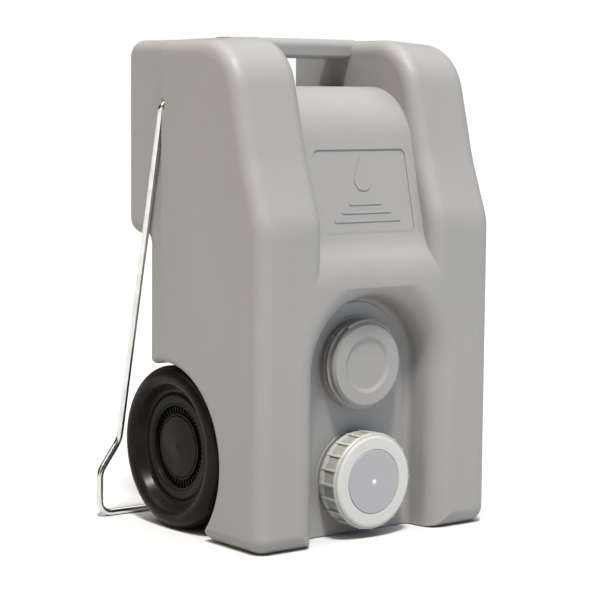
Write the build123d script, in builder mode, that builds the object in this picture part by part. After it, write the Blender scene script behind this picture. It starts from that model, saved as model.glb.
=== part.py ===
"""Portable waste tote: a blow-moulded holding tank on two wheels, with a screw drain cap and a wire bail.

Millimetres, +Z up.  The origin is on the floor, under the middle of the object's overall box.
The front, with the two necks, faces -Y; X runs across the tote.  "Back" values are distances
behind the plane of the front face.
"""
import os
from math import hypot, sqrt

from build123d import *

os.makedirs("parts", exist_ok=True)

# ---------------------------------------------------------------- driving dimensions
column_height = 520.0           # top of the columns at their outer faces
crown = 5.5                     # rise of the columns' tops towards the grip
overall_depth = 267.75          # front face to the back of the bail
front_y = -overall_depth / 2    # the plane of the front face
wall = 3.2                      # blow-moulded wall
running = 0.3                   # gap between pieces that move on each other
pin_running = 0.1               # radial gap of a shaft in its bore

# Front half of the tank
front_half_width = 156.0        # side faces, either side of the middle
parting_back = 177.5            # parting line
crease_height = 333.0           # where the front face starts to lean back
lean_point = (24.0, 396.0)      # (back, height) where the lean gets steeper
top_front = 56.0                # the lean carried on up to the top
side_round = 16.0

# Rear half of the tank
rear_half_width = 149.0         # set in, so that the bail's legs lie beside it
rear_back = 257.0               # rear face of the upper block
rear_top = 521.5
rear_underside = 313.0          # underside of the upper block
lower_back = 215.5              # rear face below the block
block_round = 14.0
valley_round = 17.0             # edges of the valley's walls in the rear half
floor_gap = 1.2                 # the tank's underside between the feet

# Valley between the two columns, and the hand hole under the grip
valley_half = 74.0
panel_foot = 285.0              # where the sunk panel leaves the front face
panel_knee = (17.0, 312.0)
panel_top = 54.5                # the panel's slope carried on up to the valley floor
valley_floor = 474.0
grip_front = 147.0
grip_back = 186.5
grip_bottom = 504.5
grip_top = column_height + crown

# Bay for the necks
bay_half = 82.0
bay_depth = 44.0
bay_arch_height = 178.0
bay_draft = 8.0
bay_flare = 26.0                # rounding of the bay's outer edge
bay_root = 8.0                  # rounding where its wall meets its floor
band_half = 65.0                # raised band behind the necks
band_height = 1.8

# Threaded necks: the lower one is open, the upper one is moulded closed
neck_root = 45.0
neck_bore = 41.0
thread_height = 2.6
thread_pitch = 6.0
drain_height = 60.5
drain_rim_back = 15.5
closed_height = 183.0
closed_face_back = 20.0
closed_face_radius = 42.5
closed_face_dish = 2.4
collar_radius = 51.5

# Drain cap
cap_radius = 51.2
cap_skirt_radius = 49.9
cap_face_back = 7.5
cap_skirt_back = 36.5
cap_window = 34.3
cap_bore = 48.3
cap_rim = 6.0                   # plain rims at both ends of the skirt
cap_ribs = 20

# Wheels and their wells
wheel_radius = 88.0
wheel_back = 170.5              # axle
wheel_height = wheel_radius
wheel_outer = 153.0             # outer plane of the tyre
wheel_width = 44.0
well_radius = 100.0
well_back = 173.5
well_edge = 6.0                 # rounding of the wells' outer edges
well_height = 80.0
well_inner = 104.0              # inner wall of the wells
hub_radius = 47.0
hub_cap_radius = 33.4
hub_face = 138.0                # plane of the hub cap's rim
axle_radius = 6.0
bush_radius = 9.0
boss_radius = 16.0

# Bail
bail_radius = 3.75
bail_half = 153.3               # legs, either side of the middle
bail_foot_half = 178.5
bail_pivot = (180.0, 454.0)     # (back, height)
bail_foot_back = overall_depth - bail_radius
bail_knee = (bail_foot_back, 84.0)
bail_jog_height = 34.0
bail_pin_length = 22.0
bail_bend = 6.0
pocket_radius = 8.2             # round pocket in the side, to clear the wire's bends
pocket_depth = 0.3              # below the side face
pocket_length = 10.5            # far enough out to clear the side's rounding
socket_mouth = 4.0              # depth of the cone at each socket's mouth

# Label plate: a plain sunk panel with a drop and ripples
label_size = (124.0, 90.0)
label_height = 365.0
label_depth = 1.4
relief_height = 0.9


def side_plane(x):
    """Plane across X; its own x is the distance behind the front face, its own y the height."""
    return Plane(origin=(x, front_y, 0), x_dir=(0, 1, 0), z_dir=(1, 0, 0))


def front_plane(back, height=0.0):
    """Plane that faces the front at a distance behind the front face, centred at a height."""
    return Plane(origin=(0, front_y + back, height), x_dir=(1, 0, 0), z_dir=(0, -1, 0))


def edges_without(face, other):
    """A face's edges that another face doesn't share."""
    return [edge for edge in face.edges() if edge not in other.edges()]


# ---------------------------------------------------------------- tank forms
# Each form is drawn twice: at full size, and smaller by the wall for the space inside.
def column(inset):
    """One side column of the front half, from the valley out to the side face."""
    width = front_half_width - valley_half - 2 * inset
    below = 30
    with BuildPart() as form:
        with BuildSketch(side_plane(valley_half + inset)):
            with BuildLine():
                FilletPolyline(
                    (inset, -below),
                    (inset, crease_height + crown),
                    (lean_point[0] + inset, lean_point[1] + crown),
                    (top_front + inset, column_height + crown - inset),
                    (parting_back - inset, column_height + crown - inset),
                    (parting_back - inset, -below),
                    radius=(0, 60, 200, 62 - inset, 0, 0),
                    close=True,
                )
            make_face()
        extrude(amount=hypot(width, crown), dir=(width, 0, -crown))
        with Locations((0, 0, inset - below)):
            Box(4 * front_half_width, 2 * overall_depth, 2 * below, mode=Mode.SUBTRACT)
        front_face = form.faces().sort_by(Axis.Y)[0]
        bottom_face = form.faces().sort_by(Axis.Z)[0]
        fillet([edge for edge in front_face.edges() if edge in bottom_face.edges()], side_round + 2)
        back_face = form.faces().sort_by(Axis.Y)[-1]
        outer_face = form.faces().sort_by(Axis.X)[-1]
        inner_face = form.faces().sort_by(Axis.X)[0]
        fillet(edges_without(outer_face, back_face), side_round - inset / 2)
        fillet(edges_without(inner_face, back_face), side_round - 1 - inset / 2)
    return form.part


def centre(inset):
    """The middle of the front half, under the valley: the sunk panel and the valley floor."""
    with BuildPart() as form:
        with BuildSketch(side_plane(0)):
            with BuildLine():
                FilletPolyline(
                    (inset, floor_gap + inset),
                    (inset, panel_foot),
                    (panel_knee[0] + inset, panel_knee[1]),
                    (panel_top + inset, valley_floor - inset),
                    (parting_back - inset, valley_floor - inset),
                    (parting_back - inset, floor_gap + inset),
                    radius=(side_round + 2, 55, 60, 70 - inset, 0, 0),
                    close=True,
                )
            make_face()
        extrude(amount=valley_half + side_round + 4, both=True)
    return form.part


def rear_half(inset):
    """The rear half: the upper block, cut through by the valley, and the panel below it."""
    overlap = 40
    with BuildPart() as form:
        with BuildSketch(side_plane(0)):
            with BuildLine():
                FilletPolyline(
                    (parting_back - overlap, rear_top - inset),
                    (rear_back - inset, rear_top - inset),
                    (rear_back - inset, rear_underside + inset),
                    (lower_back - inset, rear_underside + inset),
                    (lower_back - inset, floor_gap + inset),
                    (parting_back - overlap, floor_gap + inset),
                    radius=(0, 18 - inset, 18 - inset, 10, 10 - inset, 0),
                    close=True,
                )
            make_face()
        extrude(amount=rear_half_width - inset, both=True)
        for end in (0, -1):
            front_face = form.faces().sort_by(Axis.Y)[0]
            fillet(edges_without(form.faces().sort_by(Axis.X)[end], front_face), block_round - inset / 2)
        valley_size = (2 * (valley_half + inset), 2 * overall_depth, 2 * (rear_top - valley_floor))
        with Locations((0, 0, rear_top - inset)):
            Box(*valley_size, mode=Mode.SUBTRACT)
        floor_point = (0, front_y + 200, valley_floor)
        for side in (-1, 1):
            wall_point = (side * (valley_half + inset), front_y + 200, rear_top - 20)
            wall_face = form.faces().filter_by(Axis.X).sort_by_distance(wall_point)[0]
            floor_face = form.faces().filter_by(Axis.Z).sort_by_distance(floor_point)[0]
            kept = form.faces().sort_by(Axis.Y)[0].edges() + floor_face.edges()
            fillet([edge for edge in wall_face.edges() if edge not in kept], valley_round - inset / 2)
    return form.part


def wells(inset):
    """What the two wheels and the raised underside take out of the tank."""
    foot_back = well_back - sqrt(well_radius**2 - (well_height - side_round) ** 2)
    below = 20
    reach = 160
    with BuildPart() as form:
        for start, end, top in (
            (-reach, reach, floor_gap + inset),
            (-reach, -well_inner + inset, side_round),
            (well_inner - inset, reach, side_round),
        ):
            with BuildSketch(side_plane(start)):
                with Locations((foot_back - side_round + reach / 2, (top - below) / 2)):
                    Rectangle(reach, top + below)
                with Locations((foot_back - side_round, side_round)):
                    Circle(side_round - inset, mode=Mode.SUBTRACT)
                if top == side_round:
                    with Locations((well_back, well_height)):
                        Circle(well_radius + inset)
            extrude(amount=end - start)
    return form.part


def bay(inset):
    """The arched bay that the necks stand in, with its flared outer edge."""
    half = bay_half + inset
    below = 30
    with BuildPart() as form:
        with BuildSketch(front_plane(inset)):
            with Locations((0, (bay_arch_height - below) / 2)):
                Rectangle(2 * half, bay_arch_height + below)
            with Locations((0, bay_arch_height)):
                Circle(half)
        extrude(amount=-bay_depth, taper=bay_draft)
        end_face = form.faces().sort_by(Axis.Y)[-1]
        bottom_face = form.faces().sort_by(Axis.Z)[0]
        fillet(edges_without(end_face, bottom_face), bay_root + inset)
        mouth = [edge for edge in form.faces().sort_by(Axis.Y)[0].edges() if edge.center().Z > 0]
        with BuildSketch(front_plane(inset)):
            with Locations((0, bay_arch_height / 2)):
                Rectangle(4 * half, 2 * bay_arch_height)
        extrude(amount=below)
        rim = [
            edge
            for edge in form.edges()
            if any((edge.center() - other.center()).length < 0.01 for other in mouth)
        ]
        fillet(rim, bay_flare - inset)
    return form.part


def tank_form(inset):
    with BuildPart() as form:
        add(column(inset))
        mirror(about=Plane.YZ)
        add(centre(inset))
        add(rear_half(inset))
        add(wells(inset), mode=Mode.SUBTRACT)
        add(bay(inset), mode=Mode.SUBTRACT)
    return form.part


def on_well_edge(edge):
    """Whether an edge lies on the outer rim of a wheel well."""
    middle = edge.position_at(0.5)
    reach = hypot(middle.Y - front_y - well_back, middle.Z - well_height)
    return abs(reach - well_radius) < 0.5 and abs(middle.X) > well_inner + 1


# ---------------------------------------------------------------- threads
def thread_ridge(radius, crest, width, front_back, length, height):
    """A helical thread ridge about a neck's axis; a negative crest points inwards."""
    root = -0.4 if crest > 0 else 0.4
    taper = abs(crest) * 0.3
    path = Helix(thread_pitch, length, radius)
    with BuildPart() as ridge:
        with BuildSketch(Plane(origin=path @ 0, x_dir=(1, 0, 0), z_dir=path % 0)):
            with BuildLine():
                Polyline(
                    (root, -width / 2),
                    (root, width / 2),
                    (crest, width / 2 - taper),
                    (crest, -width / 2 + taper),
                    close=True,
                )
            make_face()
        sweep(path=path, is_frenet=True)
    return front_plane(front_back + length, height) * ridge.part


def turned(points, radii, height):
    """A solid turned about a neck's axis from an outline of (radius, back) points."""
    centre_plane = Plane(origin=(0, front_y, height), x_dir=(1, 0, 0), z_dir=(0, 0, 1))
    with BuildPart() as form:
        with BuildSketch(centre_plane):
            with BuildLine():
                FilletPolyline(*points, radius=radii, close=True)
            make_face()
        revolve(axis=Axis((0, front_y, height), (0, 1, 0)))
    return form.part


# ---------------------------------------------------------------- tank
thread_length = 12.0
thread_front = 18.5
neck_root_back = bay_depth + 4
collar_back = bay_depth - 2.5
axle_y = front_y + wheel_back
pivot_y = front_y + bail_pivot[0]

necks = [
    turned(
        [
            (0, drain_rim_back),
            (neck_root, drain_rim_back),
            (neck_root, collar_back),
            (collar_radius, collar_back),
            (collar_radius, neck_root_back),
            (0, neck_root_back),
        ],
        (0, 1, 1, 1.5, 0, 0),
        drain_height,
    ),
    thread_ridge(neck_root, thread_height, 2.6, thread_front, thread_length, drain_height),
    turned(
        [
            (0, closed_face_back + closed_face_dish),
            (25.5, closed_face_back + closed_face_dish),
            (29.5, closed_face_back),
            (closed_face_radius, closed_face_back),
            (neck_root, closed_face_back + 3.5),
            (neck_root, collar_back),
            (collar_radius, collar_back),
            (collar_radius, neck_root_back),
            (0, neck_root_back),
        ],
        (0, 2.5, 1.5, 1, 1, 1, 1.5, 0, 0),
        closed_height,
    ),
    thread_ridge(neck_root, thread_height, 2.6, closed_face_back + 5, 14, closed_height),
]
outer_form = tank_form(0)
inner_form = tank_form(wall)

with BuildPart() as inner_space:
    add(inner_form)
    with BuildSketch(front_plane(drain_rim_back, drain_height)):
        Circle(neck_bore)
    extrude(amount=-(neck_root_back + wall - drain_rim_back))
    with BuildSketch(front_plane(closed_face_back + closed_face_dish + wall, closed_height)):
        Circle(neck_bore)
    extrude(amount=-(neck_root_back - closed_face_back - closed_face_dish))
    with Locations(Location((0, axle_y, wheel_height), (0, 90, 0))):
        Cylinder(axle_radius + pin_running + wall, 2 * front_half_width, mode=Mode.SUBTRACT)
    for side in (-1, 1):
        with Locations(Location((side * rear_half_width, pivot_y, bail_pivot[1]), (0, 90, 0))):
            Cylinder(pocket_radius + wall, 2 * (bail_pin_length + wall), mode=Mode.SUBTRACT)

with BuildPart() as tank_shell:
    add(outer_form)
    fillet([edge for edge in tank_shell.edges() if on_well_edge(edge)], well_edge)
    with BuildSketch(side_plane(0)):
        with BuildLine():
            FilletPolyline(
                (grip_front, grip_bottom),
                (grip_front, grip_top),
                (grip_back, grip_top),
                (grip_back, grip_bottom),
                radius=(4, 9, 9, 4),
                close=True,
            )
        make_face()
    extrude(amount=valley_half + 10, both=True)
    with BuildSketch(front_plane(bay_depth - band_height)):
        with Locations((0, (closed_height + floor_gap) / 2)):
            Rectangle(2 * band_half, closed_height - floor_gap)
        with Locations((0, closed_height)):
            Circle(band_half)
    extrude(amount=-(band_height + 1), taper=-30)
    for neck in necks:
        add(neck)
    add(inner_space.part, mode=Mode.SUBTRACT)
    with Locations(Location((0, axle_y, wheel_height), (0, 90, 0))):
        Cylinder(axle_radius + pin_running, 2 * front_half_width, mode=Mode.SUBTRACT)
    for side in (-1, 1):
        with Locations(Location((side * rear_half_width, pivot_y, bail_pivot[1]), (0, 90, 0))):
            Cylinder(bail_radius + pin_running, 2 * (bail_pin_length + 1), mode=Mode.SUBTRACT)
        mouth_middle = side * (rear_half_width - socket_mouth / 2)
        with Locations(Location((mouth_middle, pivot_y, bail_pivot[1]), (0, 90 * side, 0))):
            Cone(bail_radius + pin_running, bail_radius + 1.5, socket_mouth, mode=Mode.SUBTRACT)
        pocket_middle = side * (rear_half_width - pocket_depth + pocket_length / 2)
        with Locations(Location((pocket_middle, pivot_y, bail_pivot[1]), (0, 90, 0))):
            Cylinder(pocket_radius, pocket_length, mode=Mode.SUBTRACT)

    # Label plate, sunk into the sloping panel, with a drop over three ripples
    slope = (panel_top - panel_knee[0]) / (valley_floor - panel_knee[1])
    label_back = panel_knee[0] + slope * (label_height - panel_knee[1])
    label_plane = Plane(
        origin=(0, front_y + label_back, label_height), x_dir=(1, 0, 0), z_dir=(0, -1, slope)
    )
    with BuildSketch(label_plane):
        RectangleRounded(*label_size, 7)
    extrude(amount=-label_depth, mode=Mode.SUBTRACT)
    with BuildSketch(label_plane.offset(-label_depth)):
        with Locations((0, 12)):
            Circle(11)
        with BuildLine():
            Polyline((-9.5, 17.5), (0, 36), (9.5, 17.5), close=True)
        make_face()
        for ripple in range(3):
            with Locations((0, -12 - 9 * ripple)):
                SlotOverall(44 + 22 * ripple, 3.6)
    extrude(amount=relief_height)
tank_shell.part.label = "tank_shell"
export_step(tank_shell.part, "parts/tank_shell.step")
print("inside volume, litres:", inner_space.part.volume / 1e6)

# ---------------------------------------------------------------- drain cap
cap_lip = 3.2
flange_back = cap_face_back + cap_lip + running
seal_back = flange_back + 2
with BuildPart() as drain_cap_ring:
    add(
        turned(
            [
                (cap_window, cap_face_back),
                (cap_radius - 4.5, cap_face_back),
                (cap_radius, cap_face_back + 3.5),
                (cap_radius, cap_face_back + cap_rim),
                (cap_skirt_radius, cap_face_back + cap_rim + 0.6),
                (cap_skirt_radius, cap_skirt_back - cap_rim - 0.6),
                (cap_radius - 0.3, cap_skirt_back - cap_rim),
                (cap_radius - 0.3, cap_skirt_back),
                (cap_bore, cap_skirt_back),
                (cap_bore, cap_face_back + cap_lip),
                (cap_window, cap_face_back + cap_lip),
            ],
            (0.8, 3, 3, 0, 0, 0, 0, 1.2, 0, 1, 0),
            drain_height,
        )
    )
    add(
        thread_ridge(
            cap_bore,
            -thread_height,
            2.2,
            thread_front + thread_pitch,
            thread_length - thread_pitch / 2,
            drain_height,
        )
    )
    with BuildSketch(front_plane(cap_skirt_back - 1.5, drain_height)):
        with PolarLocations((cap_skirt_radius + cap_radius) / 2, cap_ribs):
            Rectangle(cap_radius - cap_skirt_radius + 1, 2.6)
    extrude(amount=cap_skirt_back - cap_face_back - 5)
drain_cap_ring.part.label = "drain_cap_ring"
export_step(drain_cap_ring.part, "parts/drain_cap_ring.step")

with BuildPart() as drain_cap_disc:
    add(
        turned(
            [
                (0, cap_face_back - 0.3),
                (cap_window - running, cap_face_back - 0.3),
                (cap_window - running, flange_back),
                (cap_bore - 5, flange_back),
                (cap_bore - 5, seal_back),
                (0, seal_back),
            ],
            (0, 0.8, 0, 0, 0, 0),
            drain_height,
        )
    )
    with BuildSketch(front_plane(cap_face_back, drain_height)):
        Circle(1.6)
    extrude(amount=0.9)
drain_cap_disc.part.label = "drain_cap_disc"
export_step(drain_cap_disc.part, "parts/drain_cap_disc.step")

with BuildPart() as drain_cap_seal:
    with BuildSketch(front_plane(seal_back, drain_height)):
        Circle(neck_root + 1)
        Circle(neck_bore - 0.5, mode=Mode.SUBTRACT)
    extrude(amount=-(drain_rim_back - running - seal_back))
drain_cap_seal.part.label = "drain_cap_seal"
export_step(drain_cap_seal.part, "parts/drain_cap_seal.step")

# ---------------------------------------------------------------- axle
hub_end = wheel_outer - 22.0            # outer end of the hub's boss
bush_start = well_inner + 3.2
axle_half = hub_end + 3.5
with BuildPart() as axle_rod:
    with Locations(Location((0, axle_y, wheel_height), (0, 90, 0))):
        Cylinder(axle_radius, 2 * axle_half)
    chamfer(axle_rod.edges().filter_by(GeomType.CIRCLE), 0.8)
axle_rod.part.label = "axle_rod"
export_step(axle_rod.part, "parts/axle_rod.step")


def axle_rings(radius, start, thickness):
    """A pair of rings on the axle, one at each end."""
    with BuildPart() as rings:
        for side in (-1, 1):
            middle = side * (start + thickness / 2)
            with Locations(Location((middle, axle_y, wheel_height), (0, 90, 0))):
                Cylinder(radius, thickness)
                Cylinder(axle_radius, thickness, mode=Mode.SUBTRACT)
    return rings.part


axle_spacers = axle_rings(14, well_inner + 0.2, 2.7)
axle_spacers.label = "axle_spacers"
export_step(axle_spacers, "parts/axle_spacers.step")

axle_lock_washers = axle_rings(10.5, hub_end + running, 1.2)
axle_lock_washers.label = "axle_lock_washers"
export_step(axle_lock_washers, "parts/axle_lock_washers.step")


# ---------------------------------------------------------------- wheels
def wheel_turned(side, outline, radii):
    """A solid turned about the axle from (depth in from the tyre's outer plane, radius) points."""
    with BuildPart() as form:
        with BuildSketch(Plane(origin=(0, axle_y, wheel_height), x_dir=(1, 0, 0), z_dir=(0, -1, 0))):
            with BuildLine():
                points = [(side * (wheel_outer - depth), radius) for depth, radius in outline]
                FilletPolyline(*points, radius=radii, close=True)
            make_face()
        revolve(axis=Axis((0, axle_y, wheel_height), (1, 0, 0)))
    return form.part


tyre_wall = 4.0
hub_rim = 2.4
web_depth = 21.0
hub_ribs = 48
wheel_parts = []
for side, name in ((-1, "left"), (1, "right")):
    with BuildPart() as tyre:
        add(
            wheel_turned(
                side,
                [
                    (13, hub_radius),
                    (13, 56),
                    (17.5, 61),
                    (0, 69),
                    (0, wheel_radius),
                    (wheel_width, wheel_radius),
                    (wheel_width, 66),
                    (wheel_width - 5, hub_radius),
                ],
                (1.5, 4, 4, 9, 13, 13, 9, 0),
            )
        )
        add(
            wheel_turned(
                side,
                [
                    (13 + tyre_wall, hub_radius - 1),
                    (13 + tyre_wall, 57),
                    (17.5 + tyre_wall, 63),
                    (tyre_wall, 71),
                    (tyre_wall, wheel_radius - tyre_wall),
                    (wheel_width - tyre_wall, wheel_radius - tyre_wall),
                    (wheel_width - tyre_wall, 66),
                    (wheel_width - 5 - tyre_wall, hub_radius - 1),
                ],
                (0, 2, 2, 6, 9, 9, 6, 0),
            ),
            mode=Mode.SUBTRACT,
        )
    tyre.part.label = f"wheel_{name}_tyre"

    with BuildPart() as hub:
        add(
            wheel_turned(
                side,
                [
                    (14, hub_radius),
                    (14, hub_radius - hub_rim),
                    (web_depth, hub_radius - hub_rim),
                    (web_depth, hub_cap_radius + 2.4),
                    (15.4, hub_cap_radius + 2.4),
                    (15.4, hub_cap_radius + 0.2),
                    (web_depth, hub_cap_radius + 0.2),
                    (web_depth, boss_radius),
                    (22, boss_radius - 2),
                    (22, bush_radius),
                    (wheel_width - 2, bush_radius),
                    (wheel_width - 2, boss_radius),
                    (web_depth + 4, boss_radius + 2),
                    (web_depth + 4, hub_radius - 4),
                    (wheel_width - 6, hub_radius - 4),
                    (wheel_width - 6, hub_radius),
                ],
                (0.6, 0.6, 0, 0, 0.6, 0.6, 0, 0, 0, 0, 0, 0, 2, 2, 0, 0),
            )
        )
        rib_middle = (hub_cap_radius + 2.4 + hub_radius - hub_rim) / 2
        rib_start = (side * (wheel_outer - web_depth - 1), axle_y, wheel_height)
        with BuildSketch(Plane(origin=rib_start, x_dir=(0, 1, 0), z_dir=(side, 0, 0))):
            with PolarLocations(rib_middle, hub_ribs):
                Rectangle(hub_radius - hub_rim - hub_cap_radius - 2, 1.3)
        extrude(amount=4)
    hub.part.label = f"wheel_{name}_hub"

    bush = wheel_turned(
        side,
        [
            (22, axle_radius + pin_running),
            (22, bush_radius),
            (wheel_width - 2, bush_radius),
            (wheel_width - 2, 13),
            (wheel_outer - bush_start, 13),
            (wheel_outer - bush_start, axle_radius + pin_running),
        ],
        0,
    )
    bush.label = f"wheel_{name}_bush"

    cap = wheel_turned(
        side,
        [
            (12.4, 0),
            (15, hub_cap_radius),
            (web_depth, hub_cap_radius),
            (web_depth, hub_cap_radius - 2),
            (17, hub_cap_radius - 2.2),
            (14.6, 0),
        ],
        (0, 1.5, 0, 0, 1, 0),
    )
    cap.label = f"wheel_{name}_cap"
    wheel_parts += [tyre.part, hub.part, bush, cap]

for piece in wheel_parts:
    export_step(piece, f"parts/{piece.label}.step")

# ---------------------------------------------------------------- bail
pin_end = rear_half_width - bail_pin_length
half_path = [
    (pin_end, bail_pivot[0], bail_pivot[1]),
    (bail_half, bail_pivot[0], bail_pivot[1]),
    (bail_half, bail_knee[0], bail_knee[1]),
    (bail_foot_half, bail_foot_back, bail_knee[1] - bail_jog_height),
    (bail_foot_half, bail_foot_back, bail_radius),
]
route = [(-x, front_y + back, z) for x, back, z in half_path]
route += [(x, front_y + back, z) for x, back, z in reversed(half_path)]
with BuildPart() as bail_wire:
    with BuildLine() as centre_line:
        FilletPolyline(*route, radius=(bail_bend, 22, 22, 14, 14, 22, 22, bail_bend))
    with BuildSketch(Plane(origin=centre_line.line @ 0, z_dir=centre_line.line % 0)):
        Circle(bail_radius)
    sweep()
bail_wire.part.label = "bail_wire"
export_step(bail_wire.part, "parts/bail_wire.step")
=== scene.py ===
"""Studio scene of the wheeled waste tote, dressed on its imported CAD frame. Metres."""
from math import radians

import bmesh
import bpy
from mathutils import Euler, Matrix, Vector


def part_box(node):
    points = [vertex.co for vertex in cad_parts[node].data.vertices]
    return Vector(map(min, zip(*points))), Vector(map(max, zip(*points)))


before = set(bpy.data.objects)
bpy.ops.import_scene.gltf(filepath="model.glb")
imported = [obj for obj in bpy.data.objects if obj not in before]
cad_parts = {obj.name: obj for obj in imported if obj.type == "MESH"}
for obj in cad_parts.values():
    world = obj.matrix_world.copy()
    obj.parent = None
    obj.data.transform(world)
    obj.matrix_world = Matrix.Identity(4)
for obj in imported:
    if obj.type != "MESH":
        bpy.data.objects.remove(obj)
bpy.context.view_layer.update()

front_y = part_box("tank_shell")[0].y
cap_low, cap_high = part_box("drain_cap_ring")
drain_z = (cap_low.z + cap_high.z) / 2

# Camera, metres and degrees
camera_place = (-1.359, front_y - 1.6234, 0.4736)
camera_pitch = 5.96             # down from level
camera_heading = 37.65          # to the right of straight at the front
camera_roll = 0.52
camera_lens = 122.7             # millimetres, on a 36 mm sensor
sensor_width = 36.0

# Studio
middle = (0.0, 0.0, 0.27)       # what the softboxes point at
key_travel = (0.25, 0.37, -1.0)
key_spread = 9.0                # degrees across
sun_height = 3.0
floor_half = 16.0
floor_grey = (0.52, 0.52, 0.52)
ceiling_light = 2.05
wall_light = 0.05

# Radii on the drain cap
ring_panel = 0.0501             # the wall between the ribs, and everything inside it
ring_rib = 0.0505
ring_face_start = 0.0489
ring_face = 0.0481
# outer radius where the pale dot at the middle of the disc fades out
pale_dot_edge = 0.0036
gate_mark = 0.0008

noise_range = (0.3, 0.7)        # where nearly all of a noise texture's values lie


def map_range(tree, value, source, target=(0.0, 1.0), smooth=False):
    """Maps a value from one range onto another, clamped."""
    node = tree.nodes.new("ShaderNodeMapRange")
    if smooth:
        node.interpolation_type = "SMOOTHSTEP"
    node.inputs["From Min"].default_value, node.inputs["From Max"].default_value = source
    node.inputs["To Min"].default_value, node.inputs["To Max"].default_value = target
    tree.links.new(value, node.inputs["Value"])
    return node.outputs[0]


# ---------------------------------------------------------------- camera, lights and floor
def add_camera():
    data = bpy.data.cameras.new("studio_camera")
    data.lens = camera_lens
    data.sensor_width = sensor_width
    camera = bpy.data.objects.new("studio_camera", data)
    bpy.context.collection.objects.link(camera)
    camera.location = camera_place
    turn = (radians(90.0 - camera_pitch), 0.0, radians(-camera_heading))
    heading = Euler(turn, "XYZ").to_matrix()
    roll = Matrix.Rotation(radians(camera_roll), 3, "Z")
    camera.rotation_euler = (heading @ roll).to_euler()
    bpy.context.scene.camera = camera


def add_light(name, kind, place, travel, power, colour):
    data = bpy.data.lights.new(name, kind)
    data.energy = power
    data.color = colour
    light = bpy.data.objects.new(name, data)
    bpy.context.collection.objects.link(light)
    light.location = place
    light.rotation_euler = travel.to_track_quat("-Z", "Y").to_euler()
    return data


def add_softbox(name, place, size, power, colour):
    data = add_light(name, "AREA", place, Vector(middle) - Vector(place), power, colour)
    data.shape = "RECTANGLE"
    data.size, data.size_y = size


def add_world():
    """A dim studio with a bright ceiling and a white backdrop low down, all round."""
    world = bpy.data.worlds.new("studio_world")
    bpy.context.scene.world = world
    world.use_nodes = True
    tree = world.node_tree
    place = tree.nodes.new("ShaderNodeTexCoord").outputs["Generated"]
    split = tree.nodes.new("ShaderNodeSeparateXYZ")
    tree.links.new(place, split.inputs[0])
    height = split.outputs["Z"]
    ceiling = map_range(tree, height, (0.6, 0.8), (wall_light, ceiling_light), smooth=True)
    backdrop = map_range(tree, height, (0.043, 0.09), (1.0, 0.0), smooth=True)
    brighter = tree.nodes.new("ShaderNodeMath")
    brighter.operation = "MAXIMUM"
    tree.links.new(ceiling, brighter.inputs[0])
    tree.links.new(backdrop, brighter.inputs[1])
    tree.links.new(brighter.outputs[0], tree.nodes["Background"].inputs["Color"])


def add_floor():
    grid = bmesh.new()
    bmesh.ops.create_grid(grid, x_segments=1, y_segments=1, size=floor_half)
    mesh = bpy.data.meshes.new("floor")
    grid.to_mesh(mesh)
    grid.free()
    floor = bpy.data.objects.new("floor", mesh)
    bpy.context.collection.objects.link(floor)
    surface = bpy.data.materials.new("floor_paper")
    surface.use_nodes = True
    shader = surface.node_tree.nodes["Principled BSDF"]
    shader.inputs["Base Color"].default_value = (*floor_grey, 1)
    shader.inputs["Roughness"].default_value = 0.9
    shader.inputs["Specular IOR Level"].default_value = 0.2
    mesh.materials.append(surface)


add_camera()
add_world()
add_floor()
key = add_light(
    "key_light", "SUN", (0.0, 0.0, sun_height), Vector(key_travel), 4.4, (1.0, 0.975, 0.92)
)
key.angle = radians(key_spread)
add_softbox("front_softbox", (0.9, -2.6, 0.9), (1.4, 1.4), 15.0, (0.46, 0.68, 1.0))
add_softbox("warm_softbox", (-2.4, -0.7, 1.0), (0.3, 1.8), 6.0, (1.0, 0.7, 0.3))
bpy.context.scene.view_settings.view_transform = "Standard"


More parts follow.
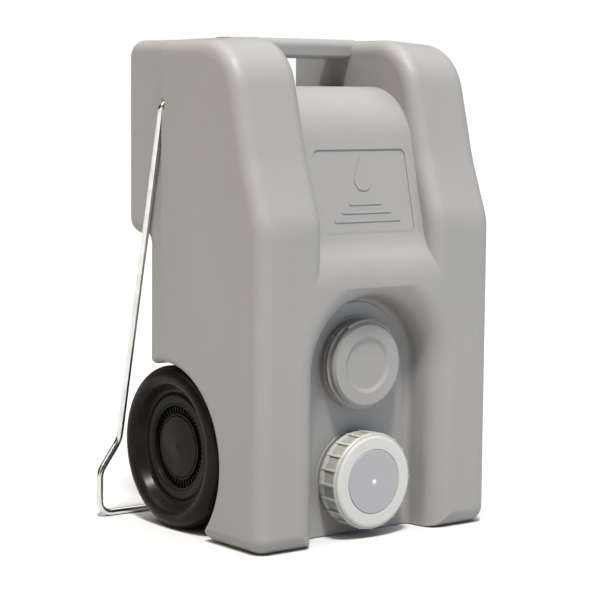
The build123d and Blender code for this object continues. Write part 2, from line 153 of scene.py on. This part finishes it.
# ---------------------------------------------------------------- materials
class Finish:
    """A Principled material whose nodes read Object coordinates in metres."""

    def __init__(self, name, colour, roughness):
        self.material = bpy.data.materials.new(name)
        self.material.use_nodes = True
        self.tree = self.material.node_tree
        self.shader = self.tree.nodes["Principled BSDF"]
        self.set_socket("Base Color", (*colour, 1))
        self.set_socket("Roughness", roughness)
        self.place = self.tree.nodes.new("ShaderNodeTexCoord").outputs["Object"]
        self.colour = colour
        self.roughness = roughness
        self.normal = None

    def set_socket(self, socket, value):
        self.shader.inputs[socket].default_value = value

    def noise(self, scale, detail=3.0, stretch=(1, 1, 1)):
        mapping = self.tree.nodes.new("ShaderNodeMapping")
        mapping.inputs["Scale"].default_value = stretch
        self.tree.links.new(self.place, mapping.inputs["Vector"])
        texture = self.tree.nodes.new("ShaderNodeTexNoise")
        texture.inputs["Scale"].default_value = scale
        texture.inputs["Detail"].default_value = detail
        self.tree.links.new(mapping.outputs[0], texture.inputs["Vector"])
        return texture.outputs["Fac"]

    def clouds(self, scale, detail, most, other, stretch=(1, 1, 1)):
        """Clouds of another colour over the base colour."""
        noise = self.noise(scale, detail, stretch)
        self.mix_colour(map_range(self.tree, noise, noise_range, (0.0, most)), other)

    def vary_roughness(self, scale, amount, stretch=(1, 1, 1)):
        limits = (self.roughness - amount, self.roughness + amount)
        varied = map_range(self.tree, self.noise(scale, stretch=stretch), noise_range, limits)
        self.tree.links.new(varied, self.shader.inputs["Roughness"])

    def mix_colour(self, factor, other):
        """Blends the base colour towards another by a factor from 0 to 1."""
        mix = self.tree.nodes.new("ShaderNodeMix")
        mix.data_type = "RGBA"
        socket = self.shader.inputs["Base Color"]
        if socket.is_linked:
            self.tree.links.new(socket.links[0].from_socket, mix.inputs["A"])
        else:
            mix.inputs["A"].default_value = (*self.colour, 1)
        mix.inputs["B"].default_value = (*other, 1)
        self.tree.links.new(factor, mix.inputs["Factor"])
        self.tree.links.new(mix.outputs["Result"], socket)

    def bump(self, height, distance, strength):
        """Adds a layer of relief over the layers before it."""
        node = self.tree.nodes.new("ShaderNodeBump")
        node.inputs["Strength"].default_value = strength
        node.inputs["Distance"].default_value = distance
        self.tree.links.new(height, node.inputs["Height"])
        if self.normal is not None:
            self.tree.links.new(self.normal, node.inputs["Normal"])
        self.normal = node.outputs[0]
        self.tree.links.new(self.normal, self.shader.inputs["Normal"])

    def ring(self, start, end):
        """From 0 at one radius to 1 at another, about the drain cap's axis."""
        shift = self.tree.nodes.new("ShaderNodeMapping")
        shift.inputs["Location"].default_value = (0.0, 0.0, -drain_z)
        shift.inputs["Scale"].default_value = (1.0, 0.0, 1.0)
        self.tree.links.new(self.place, shift.inputs["Vector"])
        length = self.tree.nodes.new("ShaderNodeVectorMath")
        length.operation = "LENGTH"
        self.tree.links.new(shift.outputs[0], length.inputs[0])
        return map_range(self.tree, length.outputs["Value"], (start, end), smooth=True)


def scaled(colour, factor):
    return tuple(channel * factor for channel in colour)


def blown_grey(name, colour):
    """Blow-moulded polyethylene: satin, with a fine blasted grain and faint flow clouds."""
    finish = Finish(name, colour, 0.5)
    finish.clouds(9.0, 4.0, 1.0, scaled(colour, 1.09), stretch=(1, 1, 0.35))
    finish.clouds(900.0, 2.0, 0.5, scaled(colour, 0.93))
    finish.vary_roughness(160.0, 0.05)
    finish.set_socket("Specular IOR Level", 0.42)
    finish.bump(finish.noise(14.0, 2.0), 0.0012, 0.35)
    finish.bump(finish.noise(950.0, 2.0), 0.00012, 0.8)
    return finish


def glossy_black(name, colour, roughness):
    """Glossy black mouldings with faint swirl scuffs and a little dust."""
    finish = Finish(name, colour, roughness)
    finish.clouds(60.0, 4.0, 0.6, tuple(channel + 0.005 for channel in colour))
    finish.vary_roughness(35.0, 0.05)
    finish.bump(finish.noise(25.0, 2.0), 0.0006, 0.25)
    finish.bump(finish.noise(700.0, 1.0), 0.00004, 0.5)
    finish.set_socket("Specular IOR Level", 0.08)
    return finish


def milky_white(name, colour):
    """Natural polyethylene: milky, slightly see-through, with soft clouds."""
    finish = Finish(name, colour, 0.34)
    finish.clouds(45.0, 3.0, 0.6, (0.36, 0.365, 0.35))
    finish.vary_roughness(120.0, 0.05)
    finish.set_socket("Subsurface Weight", 0.35)
    finish.set_socket("Subsurface Radius", (0.004, 0.0036, 0.003))
    finish.set_socket("Subsurface Scale", 1.0)
    finish.bump(finish.noise(500.0, 2.0), 0.00005, 0.6)
    return finish


def plated_steel(name, colour, roughness, drawn):
    """Plated steel, with fine lines drawn along it."""
    finish = Finish(name, colour, roughness)
    finish.set_socket("Metallic", 1.0)
    finish.clouds(70.0, 3.0, 0.7, scaled(colour, 0.72))
    finish.vary_roughness(900.0, 0.07, drawn)
    finish.bump(finish.noise(1400.0, 1.0, drawn), 0.00003, 0.5)
    return finish


def soft_rubber(name):
    finish = Finish(name, (0.03, 0.03, 0.03), 0.62)
    finish.clouds(200.0, 3.0, 0.5, (0.055, 0.055, 0.052))
    finish.bump(finish.noise(1200.0), 0.00005, 0.7)
    return finish


def nylon(name):
    finish = Finish(name, (0.72, 0.7, 0.64), 0.4)
    finish.clouds(150.0, 3.0, 0.5, (0.6, 0.58, 0.52))
    finish.vary_roughness(300.0, 0.06)
    finish.bump(finish.noise(800.0), 0.00004, 0.6)
    return finish


tank_grey = blown_grey("tank_grey", (0.25, 0.242, 0.233))
disc_grey = blown_grey("disc_grey", (0.3, 0.297, 0.308))
# a pale dot at the middle of the disc, paler towards its centre
disc_grey.mix_colour(disc_grey.ring(pale_dot_edge, gate_mark), (0.75, 0.75, 0.74))
tyre_black = glossy_black("tyre_black", (0.009, 0.007, 0.0055), 0.25)
hub_black = glossy_black("hub_black", (0.007, 0.006, 0.005), 0.22)
cap_white = milky_white("cap_white", (0.42, 0.42, 0.4))
# painted shade: the recessed wall panels between the ribs are painted darker than the ribs
cap_white.mix_colour(cap_white.ring(ring_rib, ring_panel), (0.29, 0.29, 0.265))
cap_white.mix_colour(cap_white.ring(ring_face_start, ring_face), (0.46, 0.46, 0.44))
bail_steel = plated_steel("bail_steel", (0.78, 0.78, 0.76), 0.2, (1, 1, 0.05))
axle_steel = plated_steel("axle_steel", (0.6, 0.6, 0.6), 0.3, (0.05, 1, 1))
seal_rubber = soft_rubber("seal_rubber")
bush_white = nylon("bush_white")

finishes = {
    "tank_shell": tank_grey,
    "drain_cap_ring": cap_white,
    "drain_cap_disc": disc_grey,
    "drain_cap_seal": seal_rubber,
    "axle_rod": axle_steel,
    "axle_spacers": axle_steel,
    "axle_lock_washers": axle_steel,
    "bail_wire": bail_steel,
}
for side in ("left", "right"):
    finishes[f"wheel_{side}_tyre"] = tyre_black
    finishes[f"wheel_{side}_hub"] = hub_black
    finishes[f"wheel_{side}_cap"] = hub_black
    finishes[f"wheel_{side}_bush"] = bush_white
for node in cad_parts:
    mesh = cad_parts[node].data
    mesh.materials.clear()
    mesh.materials.append(finishes[node].material)
